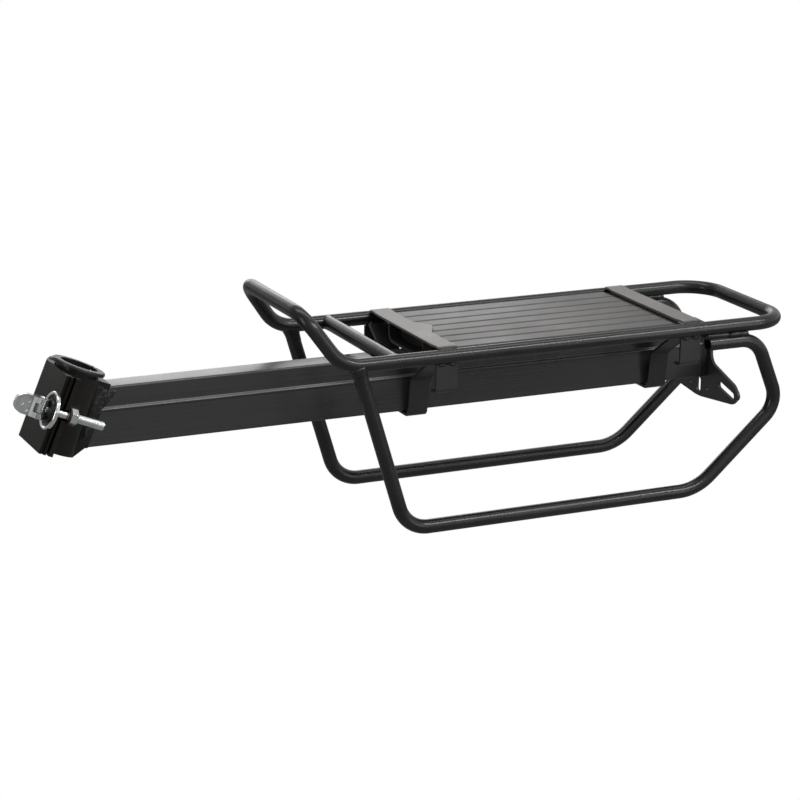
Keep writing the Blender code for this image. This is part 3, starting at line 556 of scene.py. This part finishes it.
def bead_bmesh(bm, path, radius_mm, pitch_mm, seed):
    """A weld bead along a path: overlapping ripples, uneven width, rounded ends."""
    points = [Vector(point) for point in path]
    lengths = [0.0]
    for first, second in zip(points, points[1:]):
        lengths.append(lengths[-1] + (second - first).length)
    total = lengths[-1]
    count = max(8, int(total / (pitch_mm * MM) * 5))
    rings = []
    for i in range(count + 1):
        along = total * i / count
        k = max(j for j in range(len(points) - 1) if lengths[j] <= along + 1e-12)
        share = (along - lengths[k]) / max(lengths[k + 1] - lengths[k], 1e-9)
        centre = points[k].lerp(points[k + 1], share)
        tangent = (points[k + 1] - points[k]).normalized()
        side = tangent.cross(Vector((0.31, 0.27, 0.91))).normalized()
        other = tangent.cross(side)
        ripple = 0.5 + 0.5 * math.cos(2.0 * math.pi * along / (pitch_mm * MM))
        wander = noise.noise(Vector((along * 160.0, seed, 0.3)))
        end = min(along, total - along) / (radius_mm * MM)
        cap = math.sqrt(max(0.0, 1.0 - (1.0 - min(end, 1.0)) ** 2))
        radius = radius_mm * MM * (0.84 + 0.14 * ripple + 0.16 * wander) * max(cap, 0.05)
        ring = []
        for angle in circle_angles(BEAD_SIDES):
            lump = 1.0 + 0.10 * noise.noise(Vector((along * 420.0, angle * 1.3, seed + 5.0)))
            offset = (side * math.cos(angle) + other * math.sin(angle)) * radius * lump
            ring.append(bm.verts.new(centre + offset))
        rings.append(ring)
    skin(bm, rings)


def bead(name, paths, radius_mm, body, pitch_mm, seed):
    """One piece holding the beads of one joint."""
    bm = bmesh.new()
    for index, path in enumerate(paths):
        bead_bmesh(bm, path, radius_mm, pitch_mm, seed + index * 3.7)
    add_piece(name, bm, weld_black, body)


def straight_bead(kind, end, label, start_x, end_x, y_mm, z, radius_mm, pitch_mm, seed):
    """A bead of the carrier that runs straight along x."""
    bead("%s_%s_%s" % (kind, end, label), [[Vector((start_x, y_mm * MM, z)), Vector((end_x, y_mm * MM, z))]],
         radius_mm, "carrier", pitch_mm, seed)


COLLAR_SIDES = 36
COLLAR_DOME = ((0.5, 0.97), (1.0, 0.90), (1.5, 0.78), (1.9, 0.60))    # rise past the end in mm, and size


def fillet_collar(name, centre, axis, bar_mm, length_mm, flare_mm, seed):
    """A smooth weld fillet round a bar: it flares along the rail that it meets, and rounds over into it."""
    bm = bmesh.new()
    axis = Vector(axis).normalized()
    rail = Vector((1.0, 0.0, 0.0))
    first = (rail - axis * rail.dot(axis)).normalized()
    second = axis.cross(first)
    steps = 14
    stations = [(i / steps, 1.0) for i in range(steps + 1)]
    stations += [(1.0 + rise / length_mm, size) for rise, size in COLLAR_DOME]
    rings = []
    for share, size in stations:
        ring = []
        for angle in circle_angles(COLLAR_SIDES):
            lump = noise.noise(Vector((math.cos(angle) * 1.6, math.sin(angle) * 1.6, seed + share * 2.2)))
            flare = (flare_mm + 0.35 * lump) * math.cos(angle) ** 2
            radius = (bar_mm + 0.05 + flare * min(share, 1.0) ** 2.4) * size
            offset = first * math.cos(angle) + second * math.sin(angle)
            ring.append(bm.verts.new(centre + (axis * (share - 1.0) * length_mm + offset * radius) * MM))
        rings.append(ring)
    skin(bm, rings)
    add_piece(name, bm, weld_black, "carrier")


LOOP_LEG = Vector((-0.294, 0.0, 0.956))       # direction of a side loop's front leg
# Paths of the beads over, beside and behind the gap between a side loop's rear end and its rail.
REAR_BEADS = (
    ((476.0, 61.9, 24.7), (484.0, 62.2, 25.1), (493.0, 61.9, 24.7)),
    ((457.5, 60.2, 24.8), (478.0, 60.8, 24.8)),
    ((457.5, 57.0, 24.8), (493.0, 56.4, 24.8)),
)

for side, label in ((-1.0, "left"), (1.0, "right")):
    # Side loop to rail, at the back.
    bead("weld_loop_rear_" + label, [[at(x, side * y, z) for x, y, z in path] for path in REAR_BEADS],
         2.3, "carrier", 2.6, side)
    # Side loop to rail, at the top of the front leg.
    fillet_collar("weld_loop_front_" + label, at(188.7, side * 59.0, 29.0), LOOP_LEG, BAR_R, 11.0, 1.9,
                  2.0 + side)
    # Cross tube to rail.
    fillet_collar("weld_cross_tube_" + label, at(CROSS_TUBE_X, side * 57.3, 30.4), (0.0, side, 0.0),
                  4.95, 7.5, 1.6, 4.0 + side)
    for end in ("front", "rear"):
        # Rail tab to rail: a short bead at either end of the tab's top edge.
        low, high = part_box("rail_tab_%s_%s" % (end, label))
        first = low.x + 1.5 * MM
        last = high.x - 1.5 * MM
        y = side * 59.6 * MM
        lifted = high.z + 0.4 * MM
        bead("weld_tab_%s_%s" % (end, label),
             [[Vector((first, y, high.z)), Vector((first + 5.5 * MM, y, lifted))],
              [Vector((last - 5.5 * MM, y, lifted)), Vector((last, y, high.z))]],
             1.7, "carrier", 2.0, 7.0 + side)
        # Cross plate to rail, yoke to tab, and saddle to cross plate.
        low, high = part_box(end + "_cross_plate")
        straight_bead("weld_plate", end, label, low.x + 1.0 * MM, low.x + 13.7 * MM, side * 56.2,
                      high.z - 2.2 * MM, 1.0, 1.8, 9.0 + side)
        low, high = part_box(end + "_yoke")
        straight_bead("weld_yoke", end, label, low.x + 1.0 * MM, high.x - 1.0 * MM, side * 53.0,
                      high.z - 0.7 * MM, 1.5, 1.9, 11.0 + side)
        low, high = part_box(end + "_saddle")
        straight_bead("weld_saddle", end, label, low.x + 1.0 * MM, high.x - 1.0 * MM, side * 28.9,
                      high.z, 1.1, 1.7, 13.0 + side)


# The clamp's outline beside the weld, in the clamp's frame: its ring, then its heel, then the beam's side.
CLAMP_RING_R = 18.5
RING_END = 18.4
HEEL_END = 21.0
HEEL_HALF = 12.0
BEAM_HALF_UP = 9.0
BEAM_HALF_LOW = 11.6
LEDGE_W = 8.0                  # above this the beam is narrower
MASS_TOP = 30.6                # span of the weld along the bore
MASS_BOTTOM = -10.5


def weld_mass(name, side, seed):
    """The broad, lumpy weld that fills the corner between the clamp ring and the beam's side."""
    bm = bmesh.new()
    rows = 26
    columns = 14
    outer = []
    inner = []
    for i in range(rows + 1):
        share = i / rows
        w = MASS_TOP + (MASS_BOTTOM - MASS_TOP) * share
        front = 11.5 + 3.5 * share
        reach = 30.0 - 9.0 * min(1.0, share * 1.9)
        top_row = []
        back_row = []
        for j in range(columns + 1):
            across = j / columns
            u = front + (reach - front) * across
            ring_v = math.sqrt(max(0.0, CLAMP_RING_R ** 2 - min(u, RING_END) ** 2))
            flank = BEAM_HALF_UP if w > LEDGE_W else BEAM_HALF_LOW
            base = max(ring_v if u < RING_END else 0.0, HEEL_HALF if u < HEEL_END else flank)
            edge = min(share, 1.0 - share, across * 0.9, 1.0 - across) * 6.0
            swell = min(1.0, edge) ** 0.5
            lumps = noise.noise(Vector((u * 0.42, w * 0.30, seed))) * 1.3
            lumps += noise.noise(Vector((u * 1.0, w * 0.9, seed + 4.0))) * 0.7
            ripple = 0.35 * math.cos(w * 2.0 * math.pi / 2.7 + u * 0.5)
            v = base - 0.7 + swell * (1.9 + lumps + ripple)
            top_row.append(bm.verts.new(clamp_at(u, side * v, w)))
            back_row.append(bm.verts.new(clamp_at(u, side * (base - 1.3), w)))
        outer.append(top_row)
        inner.append(back_row)
    for grid, flip in ((outer, side > 0), (inner, side < 0)):
        for i in range(rows):
            for j in range(columns):
                quad = (grid[i][j], grid[i + 1][j], grid[i + 1][j + 1], grid[i][j + 1])
                bm.faces.new(quad if flip else quad[::-1])
    rim = [(0, j) for j in range(columns)] + [(i, columns) for i in range(rows)]
    rim += [(rows, j) for j in range(columns, 0, -1)] + [(i, 0) for i in range(rows, 0, -1)]
    for (a, b), (c, d) in zip(rim, rim[1:] + rim[:1]):
        bm.faces.new((outer[a][b], outer[c][d], inner[c][d], inner[a][b]))
    add_piece(name, bm, weld_black, "beam_and_clamp")


# Deck to cross plates, across the whole deck.
DECK_ENDS = (("front", 262.6), ("rear", 442.5))
for end, x in DECK_ENDS:
    bead("weld_deck_" + end, [[at(x, -47.0, 34.2), at(x, 47.0, 34.2)]], 0.85, "carrier", 2.4, 31.0)

weld_mass("weld_clamp_left", -1.0, 1.0)
weld_mass("weld_clamp_right", 1.0, 8.0)

# Beam to clamp, above and below.
BEAM_END_U = 21.2
bead("weld_clamp_top",
     [[clamp_at(BEAM_END_U, v, w) for v, w in ((-9.0, 30.2), (0.0, 30.4), (9.0, 30.2))]],
     1.8, "beam_and_clamp", 2.2, 20.0)
bead("weld_clamp_bottom", [[clamp_at(BEAM_END_U, v, -12.2) for v in (-10.5, 10.5)]],
     1.8, "beam_and_clamp", 2.2, 23.0)


# ---------------------------------------------------------------- thread

THREAD_SIDES = 28


def rod_thread():
    """The rolled thread of the quick release rod: a fine helical ridge that stands on the plain rod."""
    start = -9.0
    end = 17.6
    pitch = 1.0
    per_turn = 6
    root = 2.90
    crest = 3.14
    steps = int((end - start) * per_turn / pitch)
    bm = bmesh.new()
    rings = []
    for i in range(steps + 1):
        u = start + i * pitch / per_turn
        fade = min(1.0, (u - start) / 1.5, (end - u) / 1.0)
        ring = []
        for j, angle in enumerate(circle_angles(THREAD_SIDES)):
            wave = abs(2.0 * ((u / pitch + j / THREAD_SIDES) % 1.0) - 1.0)
            radius = root + (crest - root) * wave * fade
            v = ROD_V + radius * math.cos(angle)
            w = ROD_W + radius * math.sin(angle)
            ring.append(bm.verts.new(clamp_at(u, v, w)))
        rings.append(ring)
    skin(bm, rings)
    add_piece("qr_rod_thread", bm, zinc, "beam_and_clamp")


rod_thread()


# ---------------------------------------------------------------- stage

FLOOR_DROP = 0.30
FLOOR_HALF = 12.0

floor_mesh = bpy.data.meshes.new("floor")
bm = bmesh.new()
bmesh.ops.create_grid(bm, x_segments=1, y_segments=1, size=FLOOR_HALF)
bm.to_mesh(floor_mesh)
bm.free()
floor = bpy.data.objects.new("floor", floor_mesh)
floor.location = (0.25, 0.0, cad_low.z - FLOOR_DROP)
bpy.context.scene.collection.objects.link(floor)
floor_mat, floor_tree, floor_shader, floor_vector = start_material("pale_floor")
floor_tone = ramp(floor_tree, noise_value(floor_tree, floor_vector, 3.0, 4.0), 0.3, 0.7, 0.0, 1.0)
floor_tree.links.new(blend_colours(floor_tree, floor_tone, (0.24, 0.24, 0.24), (0.27, 0.27, 0.27)),
                     floor_shader.inputs["Base Color"])
floor_shader.inputs["Roughness"].default_value = 0.9
floor_shader.inputs["Specular IOR Level"].default_value = 0.1
# The floor is white to the camera, and grey to the light that the rack reflects.
seen = floor_tree.nodes.new("ShaderNodeLightPath")
glow = floor_tree.nodes.new("ShaderNodeEmission")
glow.inputs["Strength"].default_value = 1.0
either = floor_tree.nodes.new("ShaderNodeMixShader")
floor_tree.links.new(seen.outputs["Is Camera Ray"], either.inputs["Fac"])
floor_tree.links.new(floor_shader.outputs["BSDF"], either.inputs[1])
floor_tree.links.new(glow.outputs["Emission"], either.inputs[2])
floor_tree.links.new(either.outputs["Shader"], floor_tree.nodes["Material Output"].inputs["Surface"])
floor_mesh.materials.append(floor_mat)


def area_light(name, offset, size, power):
    """A soft rectangular light at an offset from the rack's middle, which it is aimed at."""
    data = bpy.data.lights.new(name, "AREA")
    data.shape = "RECTANGLE"
    data.size = size[0]
    data.size_y = size[1]
    data.energy = power
    obj = bpy.data.objects.new(name, data)
    obj.location = 0.5 * (cad_low + cad_high) + Vector(offset)
    obj.rotation_euler = (-Vector(offset)).to_track_quat("-Z", "Y").to_euler()
    bpy.context.scene.collection.objects.link(obj)


area_light("top_soft", (0.1, 0.3, 1.8), (2.4, 0.5), 11.0)
area_light("back_soft", (0.5, 2.6, 0.85), (1.9, 0.9), 10.5)
area_light("front_strip", (1.4, -2.2, 2.3), (2.6, 0.30), 42.0)
area_light("right_strip", (1.5, -1.9, 0.3), (0.22, 1.5), 4.0)
area_light("left_strip", (-2.3, -0.6, 0.5), (0.35, 1.3), 6.0)

world = bpy.data.worlds.new("studio")
bpy.context.scene.world = world
world.use_nodes = True
tree = world.node_tree
background = tree.nodes["Background"]
light_path = tree.nodes.new("ShaderNodeLightPath")
directions = tree.nodes.new("ShaderNodeTexCoord")
split = tree.nodes.new("ShaderNodeSeparateXYZ")
tree.links.new(directions.outputs["Generated"], split.inputs["Vector"])
# Brighter low down, dimmer on the clamp's side.
lift = ramp(tree, split.outputs["Z"], -0.1, 0.9, 0.72, 0.45)
side_dimming = ramp(tree, split.outputs["X"], -0.7, -0.1, 0.40, 1.0)
glow_level = maths(tree, "MULTIPLY", lift, side_dimming)
strength = maths(tree, "MAXIMUM", glow_level, light_path.outputs["Is Camera Ray"])
background.inputs["Color"].default_value = (1.0, 1.0, 1.0, 1.0)
tree.links.new(strength, background.inputs["Strength"])
bpy.context.scene.view_settings.view_transform = "Standard"


# ---------------------------------------------------------------- camera

AZIMUTH = math.radians(-25.1616)
ELEVATION = math.radians(16.1048)
ROLL = math.radians(0.8982)
LENS = 113.751
DISTANCE = 1.772157
AIM = Vector((0.218646, 0.0, -0.038384))
back = Vector((math.sin(AZIMUTH) * math.cos(ELEVATION), -math.cos(AZIMUTH) * math.cos(ELEVATION),
               math.sin(ELEVATION)))
level = (-back).cross(Vector((0.0, 0.0, 1.0))).normalized()
upright = level.cross(-back)
right = math.cos(ROLL) * level + math.sin(ROLL) * upright
upward = -math.sin(ROLL) * level + math.cos(ROLL) * upright
camera_data = bpy.data.cameras.new("camera")
camera_data.sensor_width = 36.0
camera_data.lens = LENS
camera_data.clip_start = 0.1
camera_data.clip_end = 50.0
camera = bpy.data.objects.new("camera", camera_data)
rotation = Matrix((right, upward, back)).transposed()
camera.matrix_world = Matrix.Translation(AIM + back * DISTANCE) @ rotation.to_4x4()
bpy.context.scene.collection.objects.link(camera)
bpy.context.scene.camera = camera


bpy.context.view_layer.update()
